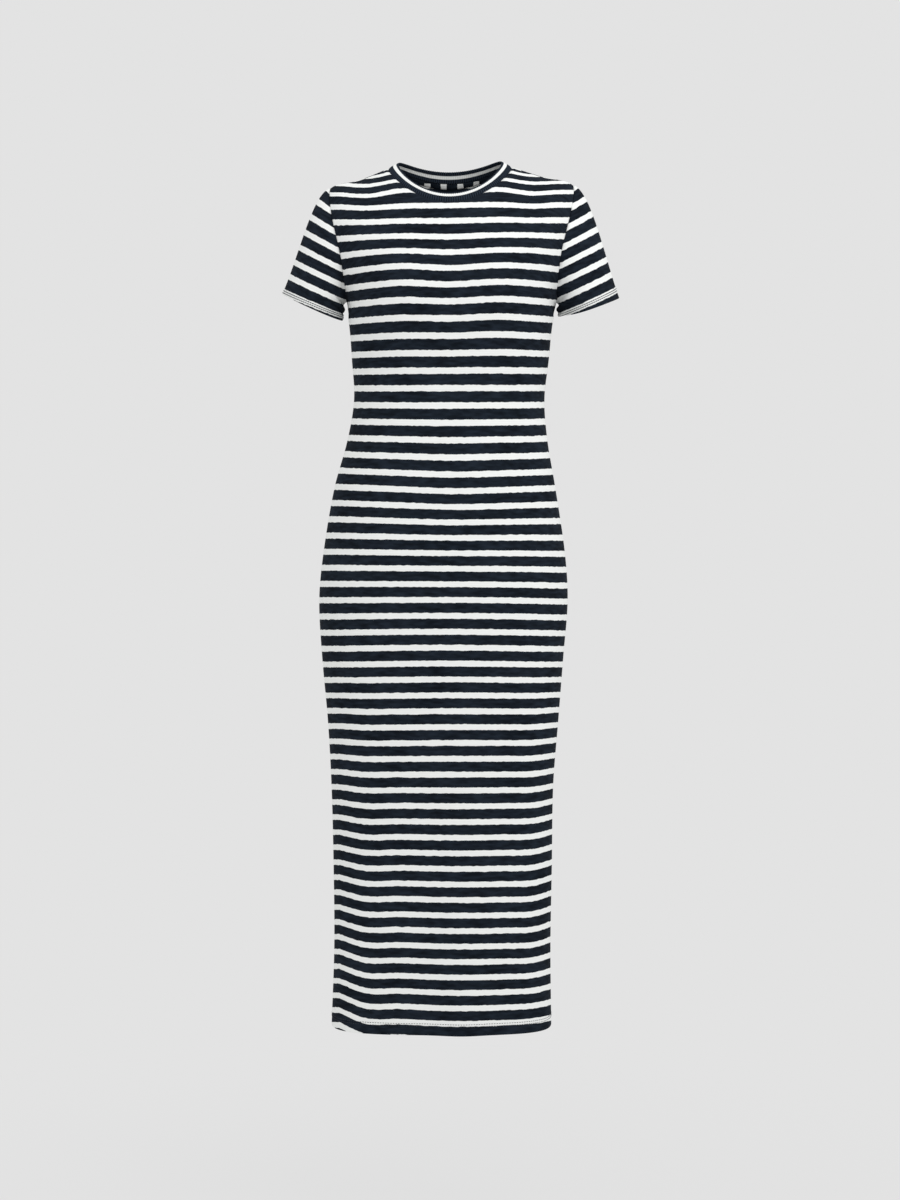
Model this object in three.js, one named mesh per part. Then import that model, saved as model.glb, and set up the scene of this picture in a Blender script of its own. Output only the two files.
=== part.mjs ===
// A short-sleeved, crew-neck T-shirt dress in light striped jersey, filled out as it hangs from the shoulders.
// Millimetres, +Z up, front towards -Y. The origin is midway between the two shoulder seams at the neck.
import * as THREE from "three";

// Cloth: the wall of each layer, and the gap that keeps sewn pieces apart as solids.
const WALL = 1.2;
const HEM_WALL = 2.4;
const BAND_WALL = 2.0;
const TAPE_WALL = 1.0;
const SEAM_GAP = 0.3;

// Depth of the turned-up hems, and the height of the ledge where the turned layer ends.
const HEM_TURN = 24;
const SLEEVE_HEM_TURN = 18;
const LEDGE = 0.6;

// Depth of the neck tape, and how far round the back neck it reaches from the middle, as a share of 90 degrees.
const TAPE_DEPTH = 9;
const TAPE_REACH = 10 / 12;

// Mesh density: columns across each panel, and steps up the skirt, the armhole and the shoulder.
const PANEL_COLUMNS = 24;
const SKIRT_STEPS = 17;
const ARMHOLE_STEPS = 14;
const SHOULDER_STEPS = 4;
const SLEEVE_STEPS = 6;
const BAND_STEPS = 3;

// Rings of the body from the hem up to the neck seam. "run" is the way up the side seam, then over the shoulder.
// Each ring has its heights and depths at the front, sides and back, its half-widths towards +X and -X,
// and its squareness (2 is an ellipse, more is flatter in front with rounder corners).
const BODY = table("run zFront zPlusX zBack zMinusX yFront ySide yBack plusX minusX square", [
  [0, -1179, -1178, -1179, -1178, -98, 0, 100, 139, 162.5, 3.4],
  [105, -1072, -1072, -1072, -1072, -101, 0, 101, 138, 159, 3.2],
  [215, -962, -962, -962, -962, -105, 0, 104, 140, 160, 3],
  [326, -851, -851, -851, -851, -110, 0, 108, 142, 163, 2.8],
  [414, -763, -763, -763, -763, -114, 0, 113, 149, 168, 2.65],
  [502, -675, -675, -675, -675, -117, 0, 120, 156, 176, 2.5],
  [580, -597, -597, -597, -597, -118, 0, 124, 162, 180, 2.4],
  [646, -531, -531, -531, -531, -115, 0, 121, 158, 174, 2.4],
  [734, -443, -443, -443, -443, -107, 0, 110, 145, 159, 2.4],
  [800, -377, -377, -377, -377, -100, 0, 102, 134, 141, 2.4],
  [856, -321, -321, -321, -321, -97, 0, 97, 130, 132, 2.4],
  [911, -266, -266, -266, -266, -101, 0, 99, 136, 135, 2.4],
  [952, -225, -225, -225, -225, -106, 0, 103, 140, 138, 2.4],
  [992, -185, -185, -185, -185, -107, 0, 107, 146, 143, 2.4],
  [1039, -147, -141, -150, -141, -102, 2, 108, 162, 160, 2.4],
  [1084, -119, -94, -113, -96, -94, 5, 104, 173, 171, 2.4],
  [1119, -100, -56, -82, -58, -87, 7, 98, 176, 173, 2.3],
  [1146, -87, -24, -57, -28, -81, 8, 90, 170, 165, 2.2],
  [1189, -72, -12, -30, -17, -75, 9, 79, 127, 126, 2.1],
  [1232, -60, 1, -10, -1, -70, 10, 70, 85.5, 85.5, 2],
]);
const NECK_RUN = 1232;

// The armhole is an oval cut from the rings: it opens between two runs and bites this far into each panel.
const ARMHOLE = { under: 992, over: 1146, frontBite: 30, backBite: 27 };
// The rings turn sharply over the shoulder point. Away from it they are averaged over a spread of runs.
const SHOULDER_SOFT = { spread: 44, wide: 62, sharpness: 6 };

// Soft fullness of the front over the bust, one either side of the middle.
const BUST = { lift: 8, x: 73, z: -178, wide: 58, tall: 88 };
// One soft flute down the front of the skirt, growing towards the hem.
const FLUTE = { lift: 9, x: 16, wide: 34, top: -690, hem: -1172 };

// Sleeve hems: the inner and outer ends of the opening seen from the front, its middle and half-depth across,
// and how far the front edge hangs below the middle. Left and right are the wearer's; left is on the +X side.
const SLEEVES = {
  sleeve_left: { side: 1, inner: [156, -209], outer: [234, -180], middleY: 6, halfDepth: 54, tilt: 7 },
  sleeve_right: { side: -1, inner: [149, -213], outer: [232, -174.5], middleY: 6, halfDepth: 54, tilt: 7 },
};
// How a sleeve leaves the armhole, as a pull outwards, forwards and down at four places round it.
const SLEEVE_PULL = {
  outward: { under: 14, front: 46, over: 72, back: 46 },
  forward: { under: 0, front: 10, over: 0, back: -10 },
  down: { under: 8, front: 45, over: 5, back: 45 },
};
// Length of the sleeve at the same four places.
const SLEEVE_LENGTH = { under: 26, front: 92, over: 158, back: 92 };

// The neckband from its seam to its top edge: how far it leans in and how far it rises.
const BAND = {
  inward: { front: 10, side: 14, back: 4 },
  rise: { front: 14, side: 7, back: 16 },
  bow: 0.8,
};

const RIGHT_ANGLE = Math.PI / 2;
const DEGREE = Math.PI / 180;
const UP = new THREE.Vector3(0, 0, 1);

// Rows of numbers as objects whose keys are the column names.
function table(names, rows) {
  const keys = names.split(" ");
  return rows.map((row) => Object.fromEntries(keys.map((key, k) => [key, row[k]])));
}

// A cubic curve from one value to another with a given slope at each end.
function hermite(from, leave, to, arrive, u) {
  const v = 1 - u;
  return v * v * (1 + 2 * u) * from + v * v * u * leave + u * u * (3 - 2 * u) * to - u * u * v * arrive;
}

// One column of BODY at a run, on a smooth curve through its rows.
function track(column, run) {
  const last = BODY.length - 1;
  let i = 0;
  while (i < last - 1 && run > BODY[i + 1].run) i++;
  const slope = (k) => {
    const below = BODY[Math.max(k - 1, 0)];
    const above = BODY[Math.min(k + 1, last)];
    return (above[column] - below[column]) / (above.run - below.run);
  };
  const span = BODY[i + 1].run - BODY[i].run;
  const u = (run - BODY[i].run) / span;
  return hermite(BODY[i][column], slope(i) * span, BODY[i + 1][column], slope(i + 1) * span, u);
}

// A smooth value round a loop that passes through four given ones, a quarter turn apart.
function roundLoop(first, second, third, fourth, angle) {
  const mean = (first + second + third + fourth) / 4;
  const along = ((first - third) / 2) * Math.cos(angle);
  const across = ((second - fourth) / 2) * Math.sin(angle);
  const pinch = ((first + third - second - fourth) / 4) * Math.cos(2 * angle);
  return mean + along + across + pinch;
}

const bell = (u) => Math.exp(-u * u);
const ease = (u) => {
  const t = Math.min(Math.max(u, 0), 1);
  return t * t * (3 - 2 * t);
};

// One column averaged over a spread of runs either side.
function softTrack(column, run, spread) {
  const weights = [1, 2, 3, 2, 1];
  const total = weights.reduce((sum, weight) => sum + weight);
  const middle = (weights.length - 1) / 2;
  const taps = weights.map((weight, k) => weight * track(column, run + (spread * (k - middle)) / middle));
  return taps.reduce((sum, tap) => sum + tap) / total;
}

// The outside of the body. The angle is 0 at the middle of the front, a quarter turn at the +X side.
function bodyPoint(angle, run) {
  const sine = Math.sin(angle);
  const cosine = Math.cos(angle);
  const awayFromSide = 1 - Math.abs(sine) ** SHOULDER_SOFT.sharpness;
  const spread = SHOULDER_SOFT.spread * bell((run - ARMHOLE.over) / SHOULDER_SOFT.wide) * awayFromSide;
  const at = (column) => softTrack(column, run, spread);
  const square = at("square");
  const corner = (Math.abs(sine) ** square + Math.abs(cosine) ** square) ** (-1 / square);
  const half = sine > 0 ? at("plusX") : at("minusX");
  const depth = (cosine > 0 ? at("yFront") : at("yBack")) - at("ySide");
  const x = half * sine * corner;
  const z = roundLoop(at("zFront"), at("zPlusX"), at("zBack"), at("zMinusX"), angle);
  const facing = Math.max(cosine, 0);
  const bust = BUST.lift * bell((Math.abs(x) - BUST.x) / BUST.wide) * bell((z - BUST.z) / BUST.tall);
  const flute = FLUTE.lift * bell((x - FLUTE.x) / FLUTE.wide) * ease((z - FLUTE.top) / (FLUTE.hem - FLUTE.top));
  const y = at("ySide") + depth * Math.abs(cosine) * corner - facing * (bust + flute);
  return new THREE.Vector3(x, y, z);
}

// The angle of a point on a panel, at a share of the way from its middle to its edge. The armhole bites into
// the edge and leaves the middle alone.
function panelAngle(share, run, bite) {
  const middle = (ARMHOLE.under + ARMHOLE.over) / 2;
  const reach = (ARMHOLE.over - ARMHOLE.under) / 2;
  const offset = (run - middle) / reach;
  const open = Math.abs(offset) < 1 ? Math.sqrt(1 - offset * offset) : 0;
  return share * (RIGHT_ANGLE - bite * DEGREE * open * Math.abs(share));
}

// A point on the armhole: a turn of 0 is under the arm, a quarter turn is the front, a half turn the shoulder.
function armholePoint(side, turn) {
  const middle = (ARMHOLE.under + ARMHOLE.over) / 2;
  const reach = (ARMHOLE.over - ARMHOLE.under) / 2;
  const bite = Math.sin(turn) > 0 ? ARMHOLE.frontBite : ARMHOLE.backBite;
  const angle = RIGHT_ANGLE - bite * DEGREE * Math.sin(turn);
  return bodyPoint(side * angle, middle - reach * Math.cos(turn));
}

// The outside of a sleeve, from the armhole at 0 to the hem at 1.
function sleevePoint(sleeve, turn, along) {
  const { side, inner, outer, middleY, halfDepth, tilt } = sleeve;
  const start = armholePoint(side, turn);
  const pull = ({ under, front, over, back }) => roundLoop(under, front, over, back, turn);
  const share = (1 - Math.cos(turn)) / 2;
  const hemX = inner[0] + (outer[0] - inner[0]) * share;
  const hemZ = inner[1] + (outer[1] - inner[1]) * share - tilt * Math.sin(turn);
  const hem = new THREE.Vector3(side * hemX, middleY - halfDepth * Math.sin(turn), hemZ);
  const hang = new THREE.Vector3(side * (outer[1] - inner[1]), 0, inner[0] - outer[0]);
  hang.setLength(pull(SLEEVE_LENGTH));
  const leave = new THREE.Vector3(
    side * pull(SLEEVE_PULL.outward),
    -pull(SLEEVE_PULL.forward),
    -pull(SLEEVE_PULL.down),
  );
  const blend = (axis) => hermite(start[axis], leave[axis], hem[axis], hang[axis], along);
  return new THREE.Vector3(blend("x"), blend("y"), blend("z"));
}

// The outside of the neckband, from its seam at 0 to its top edge at 1.
function bandPoint(angle, up) {
  const seam = bodyPoint(angle, NECK_RUN);
  const reach = ({ front, side, back }) => roundLoop(front, side, back, side, angle);
  const inward = new THREE.Vector3(-seam.x, track("ySide", NECK_RUN) - seam.y, 0).normalize();
  const stand = inward.clone().multiplyScalar(reach(BAND.inward)).addScaledVector(UP, reach(BAND.rise));
  const start = SEAM_GAP / stand.length();
  const bow = inward.multiplyScalar(-BAND.bow * Math.sin(Math.PI * up));
  return seam.addScaledVector(stand, start + (1 - start) * up).add(bow);
}

// The unit tangents of a surface, and its normal as the tangent across times the tangent up.
function frameAt(surface, across, up) {
  const step = 1e-3;
  const tangent = (a, b) => b.sub(a).normalize();
  const along = tangent(surface(across - step, up), surface(across + step, up));
  const rising = tangent(surface(across, up - step), surface(across, up + step));
  return { along, rising, normal: along.clone().cross(rising).normalize() };
}

// A closed wall between an outer and an inner grid of points, as one named mesh.
// Rows run up, columns run so that the columns' direction times the rows' direction faces out.
function wallMesh(name, outer, inner, isTube, material) {
  const rows = outer.length;
  const columns = outer[0].length;
  const points = [...outer.flat(), ...inner.flat()];
  const out = (i, j) => i * columns + (j % columns);
  const into = (i, j) => rows * columns + out(i, j);
  const faces = [];
  const quad = (a, b, c, d) => faces.push(a, b, c, a, c, d);
  const spans = isTube ? columns : columns - 1;
  for (let j = 0; j < spans; j++) {
    for (let i = 0; i < rows - 1; i++) {
      quad(out(i, j), out(i, j + 1), out(i + 1, j + 1), out(i + 1, j));
      quad(into(i, j), into(i + 1, j), into(i + 1, j + 1), into(i, j + 1));
    }
    quad(out(0, j), into(0, j), into(0, j + 1), out(0, j + 1));
    quad(out(rows - 1, j), out(rows - 1, j + 1), into(rows - 1, j + 1), into(rows - 1, j));
  }
  if (!isTube) {
    const end = columns - 1;
    for (let i = 0; i < rows - 1; i++) {
      quad(out(i, 0), out(i + 1, 0), into(i + 1, 0), into(i, 0));
      quad(out(i, end), into(i, end), into(i + 1, end), out(i + 1, end));
    }
  }
  const geometry = new THREE.BufferGeometry();
  geometry.setAttribute("position", new THREE.Float32BufferAttribute(points.flatMap((p) => p.toArray()), 3));
  geometry.setIndex(faces);
  geometry.computeVertexNormals();
  const mesh = new THREE.Mesh(geometry, material);
  mesh.name = name;
  return mesh;
}

// Evenly spaced steps from one value up to another, without the first.
function steps(from, to, count) {
  return Array.from({ length: count }, (_, k) => from + ((to - from) * (k + 1)) / count);
}

// Runs of a panel's rows with the wall of each: the turned hem, the skirt, the armhole and the shoulder.
function panelRows() {
  const middle = (ARMHOLE.under + ARMHOLE.over) / 2;
  const reach = (ARMHOLE.over - ARMHOLE.under) / 2;
  const ledge = HEM_TURN + LEDGE;
  const armhole = steps(0, Math.PI, ARMHOLE_STEPS).map((turn) => middle - reach * Math.cos(turn));
  const thin = [
    ledge,
    ...steps(ledge, ARMHOLE.under, SKIRT_STEPS),
    ...armhole,
    ...steps(ARMHOLE.over, NECK_RUN, SHOULDER_STEPS),
  ];
  return [
    { run: 0, wall: HEM_WALL },
    { run: HEM_TURN, wall: HEM_WALL },
    ...thin.map((run) => ({ run, wall: WALL })),
  ];
}

// The front or the back, from the hem to the neck seam and from edge to edge.
function panel(name, isFront, material) {
  const middle = isFront ? 0 : Math.PI;
  const bite = isFront ? ARMHOLE.frontBite : ARMHOLE.backBite;
  const outer = [];
  const inner = [];
  for (const { run, wall } of panelRows()) {
    const outerRow = [];
    const innerRow = [];
    for (let j = 0; j <= PANEL_COLUMNS; j++) {
      const share = (2 * j) / PANEL_COLUMNS - 1;
      const angle = middle + panelAngle(share, run, bite);
      const point = bodyPoint(angle, run);
      const { along, normal } = frameAt(bodyPoint, angle, run);
      if (Math.abs(share) === 1) point.addScaledVector(along, (-share * SEAM_GAP) / 2);
      outerRow.push(point);
      innerRow.push(point.clone().addScaledVector(normal, -wall));
    }
    outer.push(outerRow);
    inner.push(innerRow);
  }
  return wallMesh(name, outer, inner, false, material);
}

// Rings of a sleeve from the hem to the armhole: a depth inside the hem, or a share of the cloth above the turn.
function sleeveRings() {
  return [
    { depth: 0, share: 1, wall: HEM_WALL },
    { depth: SLEEVE_HEM_TURN, share: 1, wall: HEM_WALL },
    { depth: SLEEVE_HEM_TURN + LEDGE, share: 1, wall: WALL },
    ...steps(0, 1, SLEEVE_STEPS).map((up) => ({ depth: SLEEVE_HEM_TURN + LEDGE, share: 1 - up, wall: WALL })),
  ];
}

function sleeve(name, material) {
  const shape = SLEEVES[name];
  const surface = (turn, along) => sleevePoint(shape, turn, along);
  const outer = [];
  const inner = [];
  for (const { depth, share, wall } of sleeveRings()) {
    const outerRow = [];
    const innerRow = [];
    for (let j = 0; j < 2 * ARMHOLE_STEPS; j++) {
      const turn = (shape.side * j * Math.PI) / ARMHOLE_STEPS;
      const { under, front, over, back } = SLEEVE_LENGTH;
      const along = share * (1 - depth / roundLoop(under, front, over, back, turn));
      const point = surface(turn, along);
      const { rising, normal } = frameAt(surface, turn, along);
      if (share === 0) point.addScaledVector(rising, SEAM_GAP);
      outerRow.push(point);
      innerRow.push(point.clone().addScaledVector(normal, shape.side * wall));
    }
    outer.push(outerRow);
    inner.push(innerRow);
  }
  return wallMesh(name, outer, inner, true, material);
}

function neckband(material) {
  const outer = [];
  const inner = [];
  for (let i = 0; i <= BAND_STEPS; i++) {
    const up = i / BAND_STEPS;
    const outerRow = [];
    const innerRow = [];
    for (let j = 0; j < 2 * PANEL_COLUMNS; j++) {
      const angle = (j * Math.PI) / PANEL_COLUMNS;
      const point = bandPoint(angle, up);
      outerRow.push(point);
      innerRow.push(point.clone().addScaledVector(frameAt(bandPoint, angle, up).normal, -BAND_WALL));
    }
    outer.push(outerRow);
    inner.push(innerRow);
  }
  return wallMesh("neckband", outer, inner, true, material);
}

// The tape covers the back neck seam on the inside, so it follows the inner face of the back.
function neckTape(material) {
  const outer = [];
  const inner = [];
  const reach = Math.round((TAPE_REACH * PANEL_COLUMNS) / 2);
  for (const drop of [1, 0.5, 0]) {
    const outerRow = [];
    const innerRow = [];
    for (let j = -reach; j <= reach; j++) {
      const angle = Math.PI + (j * Math.PI) / PANEL_COLUMNS;
      const perRun = bodyPoint(angle, NECK_RUN).distanceTo(bodyPoint(angle, NECK_RUN - 1));
      const run = NECK_RUN - (drop * TAPE_DEPTH) / perRun;
      const point = bodyPoint(angle, run);
      const { normal } = frameAt(bodyPoint, angle, run);
      outerRow.push(point.clone().addScaledVector(normal, -WALL - SEAM_GAP));
      innerRow.push(point.clone().addScaledVector(normal, -WALL - SEAM_GAP - TAPE_WALL));
    }
    outer.push(outerRow);
    inner.push(innerRow);
  }
  return wallMesh("neck_tape", outer, inner, false, material);
}

const jersey = new THREE.MeshStandardMaterial({ color: 0x26303a, roughness: 0.9 });
const rib = new THREE.MeshStandardMaterial({ color: 0x222b35, roughness: 0.9 });

const dress = new THREE.Group();
dress.name = "tshirt_dress";
dress.add(
  panel("front", true, jersey),
  panel("back", false, jersey),
  sleeve("sleeve_left", jersey),
  sleeve("sleeve_right", jersey),
  neckband(rib),
  neckTape(jersey),
);

export default dress;
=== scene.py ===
"""A T-shirt dress in striped jersey, filled out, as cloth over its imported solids.

Forms are worked out in millimetres and built in metres. Front towards -Y, +X to the wearer's left.
"""
import math

import bpy
import numpy as np
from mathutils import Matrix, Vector


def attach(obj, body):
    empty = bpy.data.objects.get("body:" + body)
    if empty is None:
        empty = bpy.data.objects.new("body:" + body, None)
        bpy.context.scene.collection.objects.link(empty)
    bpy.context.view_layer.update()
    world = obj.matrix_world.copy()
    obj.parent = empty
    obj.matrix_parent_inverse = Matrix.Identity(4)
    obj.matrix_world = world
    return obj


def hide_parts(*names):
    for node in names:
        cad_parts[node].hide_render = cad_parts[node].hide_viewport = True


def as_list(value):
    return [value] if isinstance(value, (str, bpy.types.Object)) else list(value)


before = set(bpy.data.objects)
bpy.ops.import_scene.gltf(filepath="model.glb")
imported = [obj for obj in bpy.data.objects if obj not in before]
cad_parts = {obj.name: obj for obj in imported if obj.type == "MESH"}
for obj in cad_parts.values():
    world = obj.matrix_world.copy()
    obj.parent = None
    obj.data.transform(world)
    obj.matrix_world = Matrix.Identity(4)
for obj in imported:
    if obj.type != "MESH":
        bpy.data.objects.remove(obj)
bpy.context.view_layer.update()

MM = 0.001
QUARTER = math.pi / 2

# Cloth: the thickness of one layer, of a turned-up hem and of the folded neckband.
LAYER = 0.9
HEM_LAYER = 1.9
BAND_LAYER = 2.0
HEM_TURN = 24.0
SLEEVE_HEM_TURN = 18.0

# Columns across a panel, round a sleeve, along the tape, and in each of the neckband's ribs.
PANEL_COLUMNS = 128
SLEEVE_COLUMNS = 168
TAPE_COLUMNS = 180
RIBS, RIB_COLUMNS = 164, 7
# How far a panel's columns crowd towards its edges: 0 is even, 1 is the most.
EDGE_CROWDING = 0.9
# Rows: the step between those over a hem, and the number in each stretch above it.
HEM_STEP, SKIRT_ROWS, ARMHOLE_ROWS, SHOULDER_ROWS = 1.3, 207, 48, 24
SLEEVE_HEM_STEP, SLEEVE_ROWS = 1.2, 44
BAND_ROWS, TAPE_ROWS = 15, 24
# Rows round the rounded edge of a hem, and of the neckband's fold.
RIM_ROWS, FOLD_ROWS = 5, 7

# Rings of the body from the hem to the neck seam, as in the solids.
RING_NAMES = "run zFront zPlusX zBack zMinusX yFront ySide yBack plusX minusX square".split()
RINGS = np.array([
    [0, -1179, -1178, -1179, -1178, -98, 0, 100, 139, 162.5, 3.4],
    [105, -1072, -1072, -1072, -1072, -101, 0, 101, 138, 159, 3.2],
    [215, -962, -962, -962, -962, -105, 0, 104, 140, 160, 3],
    [326, -851, -851, -851, -851, -110, 0, 108, 142, 163, 2.8],
    [414, -763, -763, -763, -763, -114, 0, 113, 149, 168, 2.65],
    [502, -675, -675, -675, -675, -117, 0, 120, 156, 176, 2.5],
    [580, -597, -597, -597, -597, -118, 0, 124, 162, 180, 2.4],
    [646, -531, -531, -531, -531, -115, 0, 121, 158, 174, 2.4],
    [734, -443, -443, -443, -443, -107, 0, 110, 145, 159, 2.4],
    [800, -377, -377, -377, -377, -100, 0, 102, 134, 141, 2.4],
    [856, -321, -321, -321, -321, -97, 0, 97, 130, 132, 2.4],
    [911, -266, -266, -266, -266, -101, 0, 99, 136, 135, 2.4],
    [952, -225, -225, -225, -225, -106, 0, 103, 140, 138, 2.4],
    [992, -185, -185, -185, -185, -107, 0, 107, 146, 143, 2.4],
    [1039, -147, -141, -150, -141, -102, 2, 108, 162, 160, 2.4],
    [1084, -119, -94, -113, -96, -94, 5, 104, 173, 171, 2.4],
    [1119, -100, -56, -82, -58, -87, 7, 98, 176, 173, 2.3],
    [1146, -87, -24, -57, -28, -81, 8, 90, 170, 165, 2.2],
    [1189, -72, -12, -30, -17, -75, 9, 79, 127, 126, 2.1],
    [1232, -60, 1, -10, -1, -70, 10, 70, 85.5, 85.5, 2],
])
RUNS = RINGS[:, 0]
NECK_RUN = 1232.0

# The armhole is an oval between two runs, biting this many degrees into the front and the back.
ARMHOLE_UNDER, ARMHOLE_OVER = 992.0, 1146.0
ARMHOLE_MIDDLE = (ARMHOLE_UNDER + ARMHOLE_OVER) / 2
ARMHOLE_REACH = (ARMHOLE_OVER - ARMHOLE_UNDER) / 2
FRONT_BITE, BACK_BITE = 30.0, 27.0
# The rings turn sharply over the shoulder, and are averaged over a spread of runs away from its point.
SHOULDER_SPREAD, SHOULDER_WIDE, SHOULDER_SHARPNESS = 44.0, 62.0, 6

# The cloth stands forward over the bust, and in one soft flute that grows from below the hips to the hem.
BUST = {"lift": 8.0, "x": 73.0, "z": -178.0, "wide": 58.0, "tall": 88.0}
FLUTE = {"lift": 9.0, "x": 16.0, "wide": 34.0, "top": -690.0, "hem": -1172.0}

# Sleeves: inner and outer ends of the hem in front view, and how far it is tucked in and up under the arm.
# Their stripes start at a height above the hem, spread towards the body higher up, and slant across the
# sleeve, with a little more slant at the hem.
SLEEVES = {
    "sleeve_left": {
        "side": 1, "inner": (156.0, -209.0), "outer": (234.0, -180.0), "tuck": (6.0, 4.0),
        "first": 9.4, "repeat": 21.2, "spread": 0.075, "slant": 0.082, "hem_slant": -0.02,
    },
    "sleeve_right": {
        "side": -1, "inner": (149.0, -213.0), "outer": (232.0, -174.5), "tuck": (0.0, 1.5),
        "first": 6.2, "repeat": 20.4, "spread": 0.144, "slant": -0.01, "hem_slant": -0.04,
    },
}
SPREAD_HEIGHT, HEM_SLANT_HEIGHT = 132.0, 24.0
# How narrowly the hem's tuck, inward and up, keeps to the underarm.
TUCK_SHARPNESS = 6
SLEEVE_MIDDLE_Y, SLEEVE_HALF_DEPTH, SLEEVE_TILT = 6.0, 54.0, 7.0
# How the cloth leaves the armhole under, in front of, over and behind the arm, and its length there.
PULL_OUTWARD = (14.0, 46.0, 72.0, 46.0)
PULL_FORWARD = (0.0, 10.0, 0.0, -10.0)
PULL_DOWN = (8.0, 45.0, 5.0, 45.0)
SLEEVE_LENGTH = (26.0, 92.0, 158.0, 92.0)

# The neckband's lean inward and its rise, in front, towards +X, at the back and towards -X.
BAND_INWARD = (10.0, 14.0, 4.0, 14.0)
BAND_RISE = (14.0, 7.0, 16.0, 7.0)
# How far the band bows out between its edges, the share of its rise where the fold starts, and its ribs.
BAND_BOW = 0.8
BAND_TOP = 0.94
RIB_HEIGHT = 0.2
# The band's white stripe: its middle and half-width up the inside, and its middle up the outside, where
# the fold pulls it narrower.
BAND_STRIPE_MIDDLE, BAND_STRIPE_HALF = 0.52, 0.15
BAND_OUTSIDE_MIDDLE, BAND_OUTSIDE_NARROWER = 0.68, 1.08

# Neck tape inside the back neck: its depth, its thickness in the middle and at the edges, how evenly the
# thickness is kept between them, and its half-angle.
TAPE_DEPTH = 8.0
TAPE_LAYER, TAPE_EDGE, TAPE_EVENNESS = 1.3, 0.25, 4
TAPE_REACH = math.radians(75)

# Every seam lies in a soft groove of this depth and width, with a low ridge some way from it.
GROOVE_DEPTH, GROOVE_WIDTH = 0.8, 1.7
RIDGE_HEIGHT, RIDGE_AWAY, RIDGE_WIDTH = 0.25, 4.5, 2.4

# Needle rows: heights above the body's hem, and distances from the middle of a sleeve's last white stripe,
# with the depth and width of the dip that each pulls in the cloth.
HEM_STITCH_ROWS = (12.4, 15.4)
SLEEVE_STITCH_ROWS = (-1.4, 1.4)
NEEDLE_DEPTH, NEEDLE_WIDTH = 0.22, 0.9
# Stitches: their length, the gap between two and their radius, on the body and on the sleeves.
BODY_STITCH = (2.3, 1.2, 0.3)
SLEEVE_STITCH = (2.9, 0.4, 0.5)
# A stitch is a capsule: its sides, its rings as shares of its length and radius, and how proud it lies.
STITCH_SIDES = 6
STITCH_RINGS = ((0.0, 0.4), (0.14, 1.0), (0.86, 1.0), (1.0, 0.4))
STITCH_LIFT = 0.35
# Steps along a needle row, and heights that are tried to find it on a sleeve.
BODY_ROW_STEPS, SLEEVE_ROW_STEPS, SLEEVE_ROW_TRIES = 1440, 720, 36

# Stripes: heights of some white stripes at the middle of the front, counted down from the neck.
STRIPE_NUMBER = (-2, -1, 0, 1, 3, 5, 8, 12, 16, 18, 20, 24, 28, 34, 40, 46, 52, 53)
STRIPE_HEIGHT = (-20.3, -33.3, -47.3, -65.5, -110.7, -154.5, -221.9, -313.8, -406.9, -451.9, -493.7, -575.9,
                 -660.0, -786.6, -912.9, -1037.3, -1161.2, -1182.1)
# The body's stripes all lie this far below the table's heights.
STRIPE_DROP = 0.7
# How far each stripe sags below its middle, in front view, at these distances across the front.
SAG_X = (-150, -115, -70, 0, 70, 115, 145)
SAG_STRIPE = (-2, -1, 0, 1, 3, 5, 8, 12, 15, 18, 22, 28, 34, 40, 46, 52)
SAG = np.array([
    [9, 9.5, -2, 0, -3, 6, 6],
    [3.5, 5.3, -2, 0, -4.2, 1.8, 0.5],
    [2.9, 5, -2, 0, -3.5, 1.4, -0.5],
    [1.6, 3.7, 0.9, 0, -1.2, 0.7, -1.2],
    [2.6, 0.6, -1, 0, -2.6, -2.3, -1],
    [6.6, 1.8, -2.6, 0, -3.8, -1.6, 1.6],
    [5.8, 2.6, -0.4, 0, -2.2, 0.3, 2.4],
    [0.6, 0.4, 0.2, 0, -0.2, -0.2, -0.2],
    [-4, -2.5, -1.5, 0, -1.1, -1.9, -3.2],
    [-5.6, -4.3, -2.6, 0, -1.5, -3, -4.1],
    [-1.9, -1.4, -0.8, 0, 0.1, 0.4, 0.8],
    [1.4, 1, 0.4, 0, 0.7, 1.4, 1.8],
    [-2.2, 0.4, 0.4, 0, 0, -0.6, -4.2],
    [-7.8, -0.9, -1.2, 0, -0.7, -2.4, -10],
    [-12.6, -2.2, -1.9, 0, -0.6, -2.9, -12.2],
    [-19.5, -4.2, -3, 0, -1.3, -4.2, -9.6],
])
# Above this height the back's stripes are spaced along its cloth, over the shoulder blades, at this repeat.
LEVEL_UNTIL, BACK_REPEAT = -237.0, 21.9
# From the yoke's height they go over the shoulders: shares of the climb and of the way forward.
YOKE_HEIGHT, YOKE_RISE, YOKE_FORWARD = -45.0, 0.85, 0.65
# The back's stripes meet the front's along the side seams, up to the underarm, and then go their own way.
MATCHED_UNTIL, MATCH_FADE = -190.0, 70.0
# Spacing in height of the front's stripes on the shoulder tops, past the last one in the table.
SHOULDER_REPEAT = 11.5
# The tape's stripes, across it: their repeat, how far they lie off the middle, and how many are white.
TAPE_REPEAT, TAPE_OFFSET, TAPE_STRIPES = 23.7, 2.8, 4
# The tape's white squares reach up to this height, in front view.
TAPE_TOP_X, TAPE_TOP_Z = (-40, 20, 38), (-10.3, -10.3, -7.6)

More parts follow.
